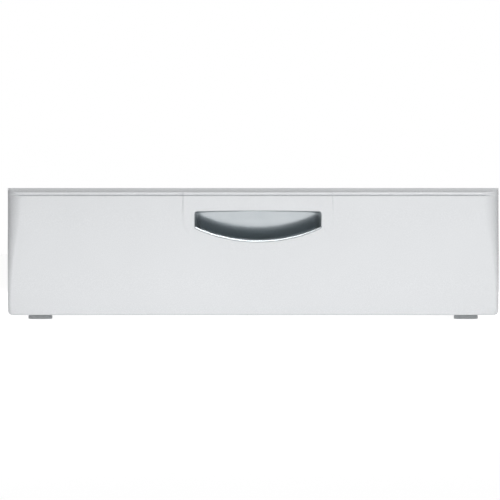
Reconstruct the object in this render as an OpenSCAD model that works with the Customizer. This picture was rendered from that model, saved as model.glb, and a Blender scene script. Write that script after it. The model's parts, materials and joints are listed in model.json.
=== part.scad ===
// Storage pedestal for a front load washing machine: a low sheet steel cabinet
// with one full-width drawer on ball-bearing slides and four levelling feet.
// Millimetres. X is across, Y runs from front to back, Z is up.
// The origin is on the floor, under the middle of the pedestal.

/* [Overall] */
// Width over the drawer front
overall_w = 686; // [580:1:780]
// Depth from the handle pad to the rear screw heads
overall_d = 660; // [600:1:800]
// Height from the floor to the top edge of the drawer front
overall_h = 184; // [176:1:260]

/* [Drawer front] */
// Gap between the floor and the drawer front
floor_gap = 6; // [3:0.5:12]
// Depth of the moulded front
front_t = 38; // [34:1:60]
// Wall of the moulded front
front_wall = 3; // [2:0.1:4]
// How much narrower the front is at its foot, on each side
front_draft = 2; // [0:0.5:5]
// Rounding of the upright edges
side_round = 14; // [6:1:20]
// Rounding of the lower corners
low_round = 6; // [2:0.5:12]
// Radius of the slight crown over the height of the face
crown_r = 2500; // [1500:50:6000]
// Height of the sloping band along the top
bevel_h = 5; // [3:0.5:7]
// Slope of that band from level
bevel_angle = 20; // [15:1:35]
// Radius of the roll between that band and the face
roll_r = 3; // [2:0.5:5]
// How far the roll stands out of the face
roll_proud = 0.6; // [0.2:0.1:1.5]

/* [Handle] */
// Offset of the handle from the middle of the front
handle_x = 5; // [-60:1:60]
// Width of the finger opening
handle_w = 175; // [120:1:220]
// Height of the finger opening at its middle
handle_h = 42; // [38:1:50]
// Radius of the opening's lower edge
handle_arc_r = 223; // [190:1:400]
// Distance from the top of the front to the opening
handle_drop = 32.5; // [28:0.5:40]
// Corner radius of the opening's upper corners
handle_corner_r = 4; // [2:0.5:6]
// Thickness of the lip along the lower edge
lip_t = 2.6; // [1.6:0.1:4]
// Wall of the finger cup
cup_wall = 1.8; // [1.2:0.1:2.5]
// Width of the flange behind the face
cup_flange = 9; // [6:0.5:12]
// Raised pad beyond each end of the opening
pad_side = 17; // [10:1:30]
// Raised pad below the opening
pad_below = 12; // [8:1:16]

/* [Cabinet] */
// Width over the skirt of the top deck
cabinet_w = 680; // [560:1:760]
// Sheet of the side panels, back and rails
panel_t = 1.2; // [0.8:0.1:2]
// Sheet of the top deck
deck_t = 1.5; // [1:0.1:2.5]
// How far the deck lies below the top of the front
deck_drop = 3; // [1:0.5:6]
// Depth of the skirt round the deck
skirt_h = 14; // [10:1:16]
// Width of the flanges on the side panels
flange_w = 18; // [14:1:24]
// Outer bend radius of the sheet
bend_r = 3; // [2.5:0.5:5]
// Height of the cabinet's lower edge above the floor
base_z = 14; // [13:1:25]
// Height of the front and rear rails
rail_h = 22; // [16:1:24]
// Depth of the rails
rail_d = 26; // [20:1:32]

/* [Washer seats] */
// Distance between the seats across
seat_span_x = 560; // [460:1:600]
// Distance between the seats front to back
seat_span_y = 490; // [420:1:500]
// Radius of each dished seat
seat_r = 30; // [24:1:34]
// Depth of the dish
seat_depth = 4; // [2:0.5:5]
// Radius of the hold-down bolt hole in each seat
bolt_hole_r = 5.5; // [4:0.5:7]

/* [Slides] */
// Length of the slide members
slide_len = 500; // [420:1:520]
// How far the drawer comes out
travel = 450; // [300:1:455]
// Height of the outer member
slide_h = 45.6; // [44:0.1:48]
// Thickness of the closed slide
slide_t = 12.7; // [12.5:0.1:14]
// Radius of the balls
ball_r = 2; // [1.8:0.1:2.1]
// Balls in each row
balls_per_row = 8; // [4:1:10]

/* [Drawer box] */
// Length of the drawer box from front to back
box_d = 520; // [500:1:570]
// Height of the drawer box
box_h = 108; // [100:1:112]
// Height of its floor above the ground
box_z = 42; // [42:1:50]
// Sheet of the drawer box
box_t = 1; // [0.8:0.1:1.6]
// Width of the rolled hem along the sides
hem_w = 8; // [6:0.5:10]

/* [Feet] */
// Distance from the inside of the side panel to each foot
foot_inset = 36; // [30:1:50]
// Radius of the foot's stud
stud_r = 5; // [4:0.5:6]
// Radius of the foot's pad
foot_r = 17; // [14:1:22]
// Height of the foot's pad
foot_h = 10; // [8:0.5:10]
// Top of the stud above the floor, with the foot screwed in
stud_top = 37; // [34:1:38]

/* [Hidden] */
$fn = 48;
eps = 1;                    // overshoot of a cutting tool
white = "#e4e6e7";
steel = "#b9bcbe";
zinc = "#c9c6b8";
silver = "#9aa1a5";
dark = "#3b3d3f";

// Heads, lengths and clearances of the fasteners
head_h = 2.6;
head_r = 5;
small_head_r = 4;
screw_r = 2;
screw_len = 6;
back_screw_len = 5;
hole_clear = 0.1;
rivet_r = 1.6;
rivet_head_r = 3.2;
rivet_head_h = 0.9;
rivet_grip = 0.6;           // how far a rivet's shank stands out behind its sheets
boss_screw_r = 1.8;
boss_screw_len = 12;
boss_hole_depth = 14;
cup_screw_r = 1.5;
cup_screw_len = 5.5;
cup_screw_head_r = 3;
cup_screw_head_h = 2;

// Planes of the drawer front
front_y = -overall_d / 2;
front_back = front_y + front_t;
front_h = overall_h - floor_gap;
crown_z = floor_gap + front_h / 2;
skin_slack = 1.5;           // lets the crowned face keep its wall at the foot
skin_y = front_y + roll_proud + front_wall + skin_slack;
step_h = 1.2;               // height of the step under the roll
crown_steps = 16;
arc_steps = 8;
scoop_steps = 14;

// Planes of the cabinet
drawer_gap = 3;
skirt_front = front_back + drawer_gap;
skirt_back = overall_d / 2 - head_h;
side_x = cabinet_w / 2 - deck_t;
side_front = skirt_front + deck_t;
back_y = skirt_back - deck_t;
side_back = back_y - panel_t;
inner_x = side_x - panel_t;
deck_z = overall_h - deck_drop;
under_z = deck_z - deck_t;
rail_front = side_front + panel_t;
rail_back = side_back - panel_t;
skirt_low = deck_z - skirt_h;
seat_y = (skirt_front + skirt_back) / 2;
seat_z = under_z - seat_depth;
brace_h = 18;
brace_w = 44;
bead_w = 22;
bead_depth = 3;
bead_gaps = 4;              // spaces between the deck's beads
back_bead_len = 476;
back_bead_count = 3;
deck_corner = bend_r - deck_t;
back_x = side_x - deck_corner;
rail_x = inner_x - bend_r + panel_t;
side_screw_inset = 60;
side_screw_ys = [side_front + side_screw_inset, seat_y, side_back - side_screw_inset];
back_screw_zs = [base_z + rail_h / 2, (base_z + skirt_low) / 2, skirt_low - 12];
front_rivet_zs = [base_z + rail_h / 2, under_z - rail_h + 4];
deck_back_pitch = cabinet_w * 0.24;

// Slide section: t runs from the cabinet to the drawer, h is the height from the slide's axis
slide_gap = 0.5;
slide_x = side_x - flange_w - slide_gap;
slide_z = box_z + 48;       // the slide's axis, a little under half the box's height
slide_y = rail_front + 2;
race_wall = 1.6;
web_t = 1.2;
middle_web = 1.4;
race_depth = 0.6;
race_clear = 0.04;
outer_ball_h = slide_h / 2 - race_wall + race_depth - race_clear - ball_r;
middle_h = outer_ball_h - ball_r - race_clear + race_depth;
inner_ball_h = middle_h - race_wall + race_depth - race_clear - ball_r;
inner_h = inner_ball_h - ball_r - race_clear + race_depth;
outer_ball_t = 5.2;
inner_ball_t = 8.4;
outer_flange_t = 8;
middle_web_t = 2;
middle_flange_t = 10.6;
inner_web_t = slide_t - middle_web;
inner_flange_t = 6;
cage_sheet = 0.4;
cage_clear = 0.3;
tab_t = 0.6;
outer_cage_t = 1.4;
inner_cage_t = 3.8;
cage_spare = 12.5;          // play of a cage between the members when the slide is out
cage_len = slide_len - travel / 2 - 2 * cage_spare;
cage_y = slide_y + (slide_len - cage_len) / 2;
hat_web = 52;
hat_lip = 12;
slide_screw_inset = 40;
slide_screw_ys = [slide_screw_inset, slide_len / 2, slide_len - slide_screw_inset];

// Drawer box
box_x = slide_x - slide_t;
box_front = front_back;
box_back = box_front + box_t + box_d;
box_top = box_z + box_h;
box_flange = 14;
hem_drop = 6;
rivet_line = 8;             // from a folded edge of the drawer box to its rivets
floor_rivet_inset = 30;
floor_rivet_count = 5;
side_rivet_zs = [box_z + 2 * rivet_line, box_top - 2.5 * rivet_line];
side_rivet_ys = [box_front + box_t + rivet_line, box_back - rivet_line];

// Release levers
lever_y = slide_y + slide_len * 0.8;
lever_len = 70;
lever_t0 = 6.8;
lever_t1 = 10.8;
lever_pin_r = 1.5;
pin_head_h = 0.6;
pin_head_r = 2.5;
pin_clear = 0.05;
lever_eye_r = 4;
lever_w = 4;
thumb_len = 16;
thumb_round = 2;

// Feet
bracket_t = 3;
bracket_size = 74;
bracket_hole_clear = 0.5;
foot_chamfer = 1;
bracket_z = base_z + panel_t;
nut_h = 8;
lock_nut_h = 5;
nut_r = 9.8;
thread_clear = 0.05;
foot_x = inner_x - foot_inset;
foot_front_y = rail_front + panel_t + foot_inset;
foot_rear_y = rail_back - panel_t - foot_inset;
foot_ys = [foot_front_y, foot_rear_y];

// Handle, in the plane of the pad
pad_y = front_y + roll_proud;
open_top = overall_h - handle_drop;
open_low = open_top - handle_h;
arc_z = open_low + handle_arc_r;
cup_clear = 0.3;
cup_in_r = handle_arc_r - lip_t;
scoop_r = 11;
scoop_v = 17;
scoop_rad = cup_in_r - 9;
wall_v0 = 1;
wall_rad = handle_arc_r - handle_h + cup_wall;
scoop_gap = norm([scoop_rad - wall_rad, scoop_v - wall_v0]);
wall_angle = atan2(scoop_v - wall_v0, scoop_rad - wall_rad) + asin(scoop_r / scoop_gap);
wall_dir = [cos(wall_angle), sin(wall_angle)];
wall_normal = [-sin(wall_angle), cos(wall_angle)];
cup_back = scoop_v + scoop_r + cup_wall;
pad_corner_r = 16;
flange_t = 2.5;

// Bosses and screws that hold the front on the drawer
front_boss_r = 5;
boss_in = box_x / 2;
boss_out = box_x - 18.4;
boss_drop = 12;
front_boss_xs = [-boss_out, -boss_in, boss_in, boss_out];
front_boss_zs = [box_z + boss_drop, box_top - boss_drop];
bumper_x = side_x - flange_w / 2;
bumper_zs = [box_z - 4, box_top];
bumper_r = 6;
bumper_stem_r = 2.5;
bumper_stem = 6;
bumper_clear = 0.2;
stiffener_gap = 4;          // under the cup's flange
stiffener_z = open_low - lip_t - cup_flange - stiffener_gap;
stiffener_h = 22;
stiffener_x = box_x - 6;
cup_fix_share = 0.52;       // of the opening's height, where the side screws sit

// ---- helpers ----

module box(lo, hi) {
    translate(lo) cube(hi - lo);
}

module along_x(x0, x1) {
    translate([x0, 0, 0]) rotate([90, 0, 90]) linear_extrude(x1 - x0) children();
}

module along_y(y0, y1) {
    translate([0, y1, 0]) rotate([90, 0, 0]) linear_extrude(y1 - y0) children();
}

module along_z(z0, z1) {
    translate([0, 0, z0]) linear_extrude(z1 - z0) children();
}

module on_side(side) {
    mirror([side > 0 ? 1 : 0, 0, 0]) children();
}

module round_rect(lo, hi, r) {
    translate([lo.x + r, lo.y]) square([hi.x - lo.x - 2 * r, hi.y - lo.y]);
    translate([lo.x, lo.y + r]) square([hi.x - lo.x, hi.y - lo.y - 2 * r]);
    for (x = [lo.x + r, hi.x - r], y = [lo.y + r, hi.y - r])
        translate([x, y]) circle(r);
}

// A folded channel: web along Y at the left, two flanges to the right
module channel(depth, height, t) {
    difference() {
        round_rect([0, 0], [depth + bend_r, height], bend_r);
        round_rect([t, t], [depth + 2 * bend_r, height - t], bend_r - t);
        translate([depth, -eps]) square([2 * bend_r, height + 2 * eps]);
    }
}

module slot(len, w) {
    square([len - w, w], center = true);
    for (s = [-1, 1]) translate([s * (len - w) / 2, 0]) circle(w / 2);
}

// A screw or rivet along +Z: head above z = 0, shank below
module screw(r, len, hr, hh) {
    translate([0, 0, -len]) cylinder(r = r, h = len);
    cylinder(r = hr, h = hh);
}

module hex_nut(r, h, bore) {
    difference() {
        cylinder(r = r, h = h, $fn = 6);
        translate([0, 0, -eps]) cylinder(r = bore, h = h + 2 * eps);
    }
}

// ---- cabinet ----

module side_panel(side) {
    color(white) on_side(side) difference() {
        union() {
            along_z(base_z, under_z)
                translate([-side_x, side_front])
                    channel(flange_w, side_back - side_front, panel_t);
            box([-side_x, side_front + rail_d + 2 * panel_t, base_z],
                [flange_w - side_x, side_back - rail_d - 2 * panel_t, base_z + panel_t]);
            box([-side_x, side_front + rail_d + 2 * panel_t, under_z - panel_t],
                [flange_w - side_x, side_back - panel_t, under_z]);
        }
        side_fixings(hole_clear);
    }
}

// Every fastener that passes through the left side panel, grown by g
module side_fixings(g) {
    for (y = side_screw_ys)
        translate([-cabinet_w / 2, y, skirt_low + skirt_h / 2])
            rotate([0, -90, 0]) screw(screw_r + g, screw_len, head_r, head_h);
    for (y = [seat_y - seat_span_y / 2, seat_y + seat_span_y / 2], d = [-brace_w / 4, brace_w / 4])
        translate([-side_x, y + d, seat_z - brace_h / 2])
            rotate([0, -90, 0]) screw(rivet_r + g, 2 * panel_t + rivet_grip, rivet_head_r, rivet_head_h);
    for (z = back_screw_zs)
        translate([flange_w / 2 - side_x, back_y, z])
            rotate([-90, 0, 0]) screw(screw_r + g, back_screw_len, head_r, head_h);
    for (z = front_rivet_zs)
        translate([flange_w / 2 - side_x, side_front, z])
            rotate([90, 0, 0]) screw(rivet_r + g, 2 * panel_t + rivet_grip, rivet_head_r, rivet_head_h);
}

module deck_back_screws(g) {
    for (i = [-1.5:1.5])
        translate([i * deck_back_pitch, skirt_back, skirt_low + skirt_h / 2])
            rotate([-90, 0, 0]) screw(screw_r + g, screw_len, head_r, head_h);
}

module both_sides() {
    on_side(-1) children();
    on_side(1) children();
}

// Outlines of the back panel's pressed beads, taken in by g
module back_beads(g) {
    pitch = (skirt_low - base_z) / (back_bead_count + 1);
    for (i = [1:back_bead_count])
        translate([0, base_z + i * pitch]) slot(back_bead_len - 2 * g, bead_w - 2 * g);
}

module back_panel() {
    color(white) difference() {
        union() {
            along_y(back_y - panel_t, back_y)
                round_rect([-back_x, base_z], [back_x, under_z], bend_r);
            along_y(back_y - panel_t - bead_depth, back_y) back_beads(0);
        }
        along_y(back_y - bead_depth, back_y + eps) back_beads(panel_t);
        both_sides() side_fixings(hole_clear);
        deck_back_screws(hole_clear);
    }
}

module seats() {
    for (x = [-seat_span_x / 2, seat_span_x / 2], y = [seat_y - seat_span_y / 2, seat_y + seat_span_y / 2])
        translate([x, y]) children();
}

// Outlines of the deck's pressed beads, taken in by g
module deck_beads(g) {
    pitch = (seat_span_y - 2 * seat_r) / bead_gaps;
    bead_len = seat_span_x - 2 * seat_r;
    for (i = [0:bead_gaps])
        translate([0, seat_y + (i - bead_gaps / 2) * pitch]) slot(bead_len - 2 * g, bead_w - 2 * g);
}

// The space that the skirt encloses, from z0 to z1
module under_deck(z0, z1) {
    along_z(z0, z1) round_rect([-side_x, side_front], [side_x, back_y], deck_corner);
}

module top_deck() {
    color(white) difference() {
        along_z(skirt_low, deck_z)
            round_rect([-cabinet_w / 2, skirt_front], [cabinet_w / 2, skirt_back], bend_r);
        under_deck(skirt_low - eps, seat_z - eps);
        difference() {
            under_deck(seat_z - 2 * eps, under_z);
            along_z(seat_z, deck_z) seats() circle(seat_r);
            along_z(under_z - bead_depth, deck_z) deck_beads(0);
        }
        along_z(seat_z + deck_t, deck_z + eps) seats() circle(seat_r - deck_t);
        along_z(deck_z - bead_depth, deck_z + eps) deck_beads(deck_t);
        along_z(skirt_low, deck_z + eps) seats() circle(bolt_hole_r);
        both_sides() side_fixings(hole_clear);
        deck_back_screws(hole_clear);
    }
}

module upper_front_rail() {
    color(steel) difference() {
        along_x(-rail_x, rail_x)
            translate([rail_front, under_z - rail_h]) channel(rail_d, rail_h, panel_t);
        both_sides() side_fixings(hole_clear);
    }
}

module lower_front_rail() {
    color(steel) difference() {
        along_x(-rail_x, rail_x)
            translate([rail_front, base_z]) channel(rail_d, rail_h, panel_t);
        both_sides() side_fixings(hole_clear);
    }
}

module lower_rear_rail() {
    color(steel) difference() {
        along_x(-rail_x, rail_x)
            translate([rail_back, base_z]) mirror([1, 0]) channel(rail_d, rail_h, panel_t);
        both_sides() side_fixings(hole_clear);
    }
}

// A channel that opens downwards, closed by a plate at each end
module deck_brace(y) {
    color(steel) difference() {
        union() {
            along_x(-inner_x, inner_x)
                translate([y, seat_z]) rotate(-90) translate([0, -brace_w / 2])
                    channel(brace_h, brace_w, panel_t);
            both_sides()
                box([-inner_x, y - brace_w / 2 + bend_r, seat_z - brace_h],
                    [-inner_x + panel_t, y + brace_w / 2 - bend_r, seat_z - panel_t / 2]);
        }
        along_z(seat_z - brace_h - eps, seat_z + eps) seats() circle(bolt_hole_r);
        both_sides() side_fixings(hole_clear);
    }
}

// A hat channel from the side panel to the slide
module slide_bracket(side) {
    hat_d = inner_x - slide_x;
    color(steel) on_side(side) difference() {
        union() {
            along_y(slide_y, slide_y + slide_len)
                translate([-slide_x, slide_z]) mirror([1, 0]) translate([0, -hat_web / 2])
                    channel(hat_d, hat_web, panel_t);
            for (s = [-1, 1])
                box([-inner_x, slide_y, slide_z + s * (hat_web + hat_lip) / 2 - hat_lip / 2 - panel_t],
                    [-inner_x + panel_t, slide_y + slide_len,
                     slide_z + s * (hat_web + hat_lip) / 2 + hat_lip / 2 + panel_t]);
        }
        cabinet_slide_fixings(hole_clear);
    }
}

module cabinet_slide_fixings(g) {
    for (y = slide_screw_ys)
        translate([-slide_x - panel_t, slide_y + y, slide_z])
            rotate([0, -90, 0]) screw(screw_r + g, panel_t + web_t, small_head_r, head_h);
}

module slide_cabinet_screws() {
    color(zinc) both_sides() cabinet_slide_fixings(0);
}

module foot_places() {
    for (x = [-foot_x, foot_x], y = foot_ys) translate([x, y, 0]) children();
}

module foot_brackets() {
    color(steel) for (side = [-1, 1], rear = [0, 1])
        on_side(side) difference() {
            y0 = rear ? rail_back - bend_r - bracket_size : rail_front + bend_r;
            translate([-inner_x, y0, bracket_z]) cube([bracket_size, bracket_size, bracket_t]);
            translate([-foot_x, foot_ys[rear], 0])
                cylinder(r = stud_r + bracket_hole_clear, h = overall_h);
        }
}

module foot_weld_nuts() {
    color(zinc) foot_places()
        translate([0, 0, bracket_z + bracket_t]) hex_nut(nut_r, nut_h, stud_r + thread_clear);
}

module foot_lock_nuts() {
    color(zinc) foot_places()
        translate([0, 0, bracket_z - lock_nut_h]) hex_nut(nut_r, lock_nut_h, stud_r + thread_clear);
}

module stud(x, y) {
    color(zinc) translate([x, y, foot_h / 2]) cylinder(r = stud_r, h = stud_top - foot_h / 2);
}

module foot(x, y) {
    color(dark) translate([x, y, 0]) difference() {
        rotate_extrude()
            polygon([[0, 0], [foot_r - foot_chamfer, 0], [foot_r, foot_chamfer], [foot_r, foot_h * 0.45],
                     [foot_r * 0.6, foot_h], [0, foot_h]]);
        translate([0, 0, foot_h / 2]) cylinder(r = stud_r, h = foot_h);
    }
}

module cabinet_screws() {
    color(zinc) {
        both_sides() {
            for (y = side_screw_ys)
                translate([-cabinet_w / 2, y, skirt_low + skirt_h / 2])
                    rotate([0, -90, 0]) screw(screw_r, screw_len, head_r, head_h);
            for (z = back_screw_zs)
                translate([flange_w / 2 - side_x, back_y, z])
                    rotate([-90, 0, 0]) screw(screw_r, back_screw_len, head_r, head_h);
        }
        deck_back_screws(0);
    }
}

module rail_rivets() {
    color(steel) both_sides() {
        for (y = [seat_y - seat_span_y / 2, seat_y + seat_span_y / 2], d = [-brace_w / 4, brace_w / 4])
            translate([-side_x, y + d, seat_z - brace_h / 2])
                rotate([0, -90, 0]) screw(rivet_r, 2 * panel_t + rivet_grip, rivet_head_r, rivet_head_h);
        for (z = front_rivet_zs)
            translate([flange_w / 2 - side_x, side_front, z])
                rotate([90, 0, 0]) screw(rivet_r, 2 * panel_t + rivet_grip, rivet_head_r, rivet_head_h);
    }
}

// ---- slides ----

module member(side, len) {
    on_side(side) along_y(slide_y, slide_y + len) translate([-slide_x, slide_z]) children();
}

module races(t, h) {
    for (s = [-1, 1]) translate([t, s * h]) circle(ball_r + race_clear);
}

module outer_member(side) {
    color(steel) difference() {
        member(side, slide_len) difference() {
            union() {
                translate([0, -slide_h / 2]) square([web_t, slide_h]);
                for (s = [-1, 1])
                    translate([0, s * (slide_h - race_wall) / 2 - race_wall / 2])
                        square([outer_flange_t, race_wall]);
            }
            races(outer_ball_t, outer_ball_h);
        }
        on_side(side) cabinet_slide_fixings(hole_clear);
    }
}

module middle_member(side) {
    color(steel) member(side, slide_len) difference() {
        union() {
            translate([middle_web_t, -middle_h]) square([middle_web, 2 * middle_h]);
            for (s = [-1, 1])
                translate([middle_web_t, s * (middle_h - race_wall / 2) - race_wall / 2])
                    square([middle_flange_t - middle_web_t, race_wall]);
        }
        races(outer_ball_t, outer_ball_h);
        races(inner_ball_t, inner_ball_h);
    }
}

module inner_member(side) {
    color(steel) difference() {
        member(side, slide_len) difference() {
            union() {
                translate([inner_web_t, -inner_h]) square([slide_t - inner_web_t, 2 * inner_h]);
                for (s = [-1, 1])
                    translate([inner_flange_t, s * (inner_h - race_wall / 2) - race_wall / 2])
                        square([slide_t - inner_flange_t, race_wall]);
            }
            races(inner_ball_t, inner_ball_h);
        }
        on_side(side) drawer_slide_fixings(hole_clear);
    }
}

function ball_y(i) = cage_y + cage_len * (i + 0.5) / balls_per_row;

module ball_places(side, t, h) {
    on_side(side) for (i = [0:balls_per_row - 1], s = [-1, 1])
        translate([-slide_x + t, ball_y(i), slide_z + s * h]) children();
}

module cage(side, t0, t1, ball_t, h) {
    color(zinc) difference() {
        on_side(side) along_y(cage_y, cage_y + cage_len) translate([-slide_x, slide_z]) {
            translate([t0, -h]) square([cage_sheet, 2 * h]);
            for (s = [-1, 1]) translate([t0, s * h - tab_t / 2]) square([t1 - t0, tab_t]);
        }
        ball_places(side, ball_t, h) cylinder(r = ball_r + race_clear, h = 2 * tab_t, center = true);
    }
}

module outer_cage(side) {
    cage(side, outer_cage_t, outer_flange_t, outer_ball_t, outer_ball_h);
}

module inner_cage(side) {
    cage(side, inner_cage_t, inner_web_t - cage_clear, inner_ball_t, inner_ball_h);
}

module balls(side, t, h) {
    color("#d5d8da") ball_places(side, t, h) sphere(r = ball_r, $fn = 24);
}

module drawer_slide_fixings(g) {
    for (y = slide_screw_ys)
        translate([-box_x + box_t, slide_y + y, slide_z])
            rotate([0, 90, 0]) screw(screw_r + g, box_t + slide_t - inner_web_t, small_head_r, head_h);
}

module slide_drawer_screws() {
    color(zinc) both_sides() drawer_slide_fixings(0);
}

module lever_pins() {
    color(zinc) both_sides()
        translate([-slide_x + lever_t0 - 2 * pin_head_h, lever_y, slide_z]) rotate([0, 90, 0]) {
            cylinder(r = lever_pin_r, h = inner_web_t - lever_t0 + 2 * pin_head_h);
            cylinder(r = pin_head_r, h = pin_head_h);
        }
}

module release_lever(side) {
    tip = lever_y - lever_len;
    color(dark) on_side(side) difference() {
        along_x(-slide_x + lever_t0, -slide_x + lever_t1) {
            translate([lever_y, slide_z]) circle(lever_eye_r);
            translate([tip, slide_z - lever_w / 2]) square([lever_len, lever_w]);
            round_rect([tip - thumb_len, slide_z - lever_w * 1.25], [tip, slide_z + lever_w * 0.75],
                       thumb_round);
        }
        translate([-slide_x, lever_y, slide_z]) rotate([0, 90, 0])
            cylinder(r = lever_pin_r + pin_clear, h = slide_t);
    }
}

// ---- drawer front ----

function crown(z, share) = share * (z - crown_z) * (z - crown_z) / (2 * crown_r);

roll_z = overall_h - bevel_h - roll_r * cos(bevel_angle);
step_z = roll_z - step_h;
function face_y(z, share) = roll_proud + crown(z, share);

// Side view of the front, measured back from its foremost plane; share 0 is plumb, 1 is crowned
function front_profile(share) = let (
    f = face_y(step_z, share),
    low = floor_gap,
    start = face_y(low + low_round, share)
) concat(
    [[front_t, low]],
    [for (i = [0:arc_steps]) let (a = 270 - 90 * i / arc_steps)
        [start + low_round + low_round * cos(a), low + low_round + low_round * sin(a)]],
    [for (i = [1:crown_steps]) let (z = low + low_round + (step_z - low - low_round) * i / crown_steps)
        [face_y(z, share), z]],
    [for (i = [0:arc_steps]) let (a = 180 - (90 - bevel_angle) * i / arc_steps)
        [f - roll_proud + roll_r + roll_r * cos(a), roll_z + roll_r * sin(a)]],
    [[f - roll_proud + roll_r - roll_r * sin(bevel_angle) + bevel_h / tan(bevel_angle), overall_h],
     [front_t, overall_h]]
);

module front_plan(g) {
    w = overall_w / 2 - g;
    r = side_round - g;
    difference() {
        translate([-w, front_y + g]) square([2 * w, front_t + eps]);
        for (s = [-1, 1]) difference() {
            translate([s * (w - r / 2 + eps / 2), front_y + g + (r - eps) / 2])
                square([r + eps, r + eps], center = true);
            translate([s * (w - r), front_y + g + r]) circle(r);
        }
    }
}

module front_elevation(g) {
    low = floor_gap + g;
    top_x = overall_w / 2 - g;
    low_x = top_x - front_draft;
    r = low_round;
    polygon([[-low_x, low + r], [-low_x + r, low + r], [-low_x + r, low], [low_x - r, low],
             [low_x - r, low + r], [low_x, low + r], [top_x, overall_h - g], [-top_x, overall_h - g]]);
    for (s = [-1, 1]) translate([s * (low_x - r), low + r]) circle(r);
}

// The finger opening's outline, grown by g; the lower edge is grown by low_g
module smile(g, low_g) {
    translate([handle_x, 0]) intersection() {
        round_rect([-handle_w / 2 - g, open_low - low_g], [handle_w / 2 + g, open_top + g],
                   handle_corner_r + g / 2);
        translate([0, arc_z]) circle(handle_arc_r + low_g, $fn = 200);
    }
}

module pad_outline() {
    half = handle_w / 2 + pad_side;
    translate([handle_x, 0]) intersection() {
        round_rect([-half, open_low - pad_below], [half, overall_h + pad_corner_r], pad_corner_r);
        translate([0, arc_z]) circle(handle_arc_r + pad_below, $fn = 200);
    }
}

module front_bosses(r0, y0) {
    for (x = front_boss_xs, z = front_boss_zs)
        translate([x, y0, z]) rotate([-90, 0, 0]) cylinder(r = r0, h = front_back - y0);
}

module bumper_places() {
    for (x = [-bumper_x, bumper_x], z = bumper_zs) translate([x, front_back, z]) children();
}

module drawer_front() {
    inner_top = overall_h - front_wall;
    color(white) difference() {
        union() {
            difference() {
                intersection() {
                    union() {
                        along_x(-overall_w / 2, overall_w / 2)
                            translate([front_y, 0]) polygon(front_profile(1));
                        intersection() {
                            along_x(-overall_w / 2, overall_w / 2)
                                translate([front_y, 0]) polygon(front_profile(0));
                            along_y(front_y - eps, front_y + side_round) pad_outline();
                        }
                    }
                    along_z(0, overall_h + eps) front_plan(0);
                    along_y(front_y - eps, front_back + eps) front_elevation(0);
                }
                intersection() {
                    along_x(-overall_w, overall_w)
                        polygon([[skin_y, floor_gap + front_wall], [front_back + eps, floor_gap + front_wall],
                                 [front_back + eps, inner_top],
                                 [skin_y + bevel_h / tan(bevel_angle), inner_top],
                                 [skin_y, inner_top - bevel_h]]);
                    along_z(0, overall_h) front_plan(front_wall);
                    along_y(front_y, front_back + 2 * eps) front_elevation(front_wall);
                }
            }
            front_bosses(front_boss_r, skin_y - eps / 2);
            bumper_places() rotate([90, 0, 0])
                cylinder(r = bumper_r, h = front_back - skin_y + eps / 2);
        }
        along_y(front_y - eps, skin_y + eps) smile(cup_clear, cup_clear);
        translate([0, eps, 0]) front_bosses(boss_screw_r + hole_clear / 2, front_back - boss_hole_depth);
        bumper_places() rotate([90, 0, 0]) translate([0, 0, -eps])
            cylinder(r = bumper_stem_r + hole_clear / 2, h = bumper_stem + eps);
        handle_fixings(hole_clear / 2);
    }
}

// Radial section of the cup: x is the distance from the arc's centre, y the depth behind the pad.
// It runs down the sloping wall, round the scoop to the angle a_end, and forward along x = low_x.
function scoop_section(g, a_end, low_x) = let (
    base = [wall_rad, wall_v0] + wall_normal * g,
    a_wall = wall_angle + 90
) concat(
    [base - wall_dir * ((base.y + eps) / wall_dir.y)],
    [for (i = [0:scoop_steps]) let (a = a_wall + (a_end - a_wall) * i / scoop_steps)
        [scoop_rad + (scoop_r + g) * cos(a), scoop_v + (scoop_r + g) * sin(a)]],
    g > 0 ? [[low_x, scoop_v]] : [],
    [[low_x, -eps]]
);

module scoop(section) {
    translate([handle_x, pad_y, arc_z]) rotate([-90, 0, 0])
        rotate_extrude($fn = 200) polygon(section);
}

module handle_cup() {
    lip_angle = -acos((cup_in_r - scoop_rad) / scoop_r);
    color(silver) difference() {
        union() {
            intersection() {
                scoop(scoop_section(cup_wall, 0, handle_arc_r + lip_t + cup_wall));
                union() {
                    along_y(pad_y, skin_y + eps) smile(0, 0);
                    along_y(skin_y, pad_y + cup_back) smile(cup_wall, lip_t);
                }
            }
            along_y(skin_y, skin_y + flange_t) smile(cup_flange, cup_flange);
        }
        intersection() {
            scoop(scoop_section(0, lip_angle, cup_in_r));
            along_y(pad_y - eps, pad_y + cup_back) smile(-cup_wall, lip_t);
        }
        handle_fixings(hole_clear);
    }
}

module handle_fixings(g) {
    fix_x = handle_w / 2 + cup_flange / 2;
    side_z = open_low + handle_h * cup_fix_share;
    top_z = open_top + cup_flange / 2;
    for (s = [-1, 1], place = [[fix_x, side_z], [handle_w / 4, top_z]])
        translate([handle_x + s * place.x, skin_y + flange_t, place.y]) rotate([-90, 0, 0])
            screw(cup_screw_r + g, cup_screw_len, cup_screw_head_r, cup_screw_head_h);
}

module handle_screws() {
    color(zinc) handle_fixings(0);
}

module front_stiffener() {
    color(steel) along_x(-stiffener_x, stiffener_x)
        translate([skin_y, stiffener_z]) rotate(-90) channel(stiffener_h, front_back - skin_y, panel_t);
}

module front_screws() {
    color(zinc) for (x = front_boss_xs, z = front_boss_zs)
        translate([x, box_front + box_t, z]) rotate([-90, 0, 0])
            screw(boss_screw_r, boss_screw_len, small_head_r, head_h);
}

module closing_bumpers() {
    thick = side_front - front_back - bumper_clear;
    color(dark) bumper_places() {
        rotate([90, 0, 0]) cylinder(r = bumper_stem_r, h = bumper_stem);
        rotate([-90, 0, 0]) cylinder(r = bumper_r, h = thick);
    }
}

// ---- drawer box ----

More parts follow.
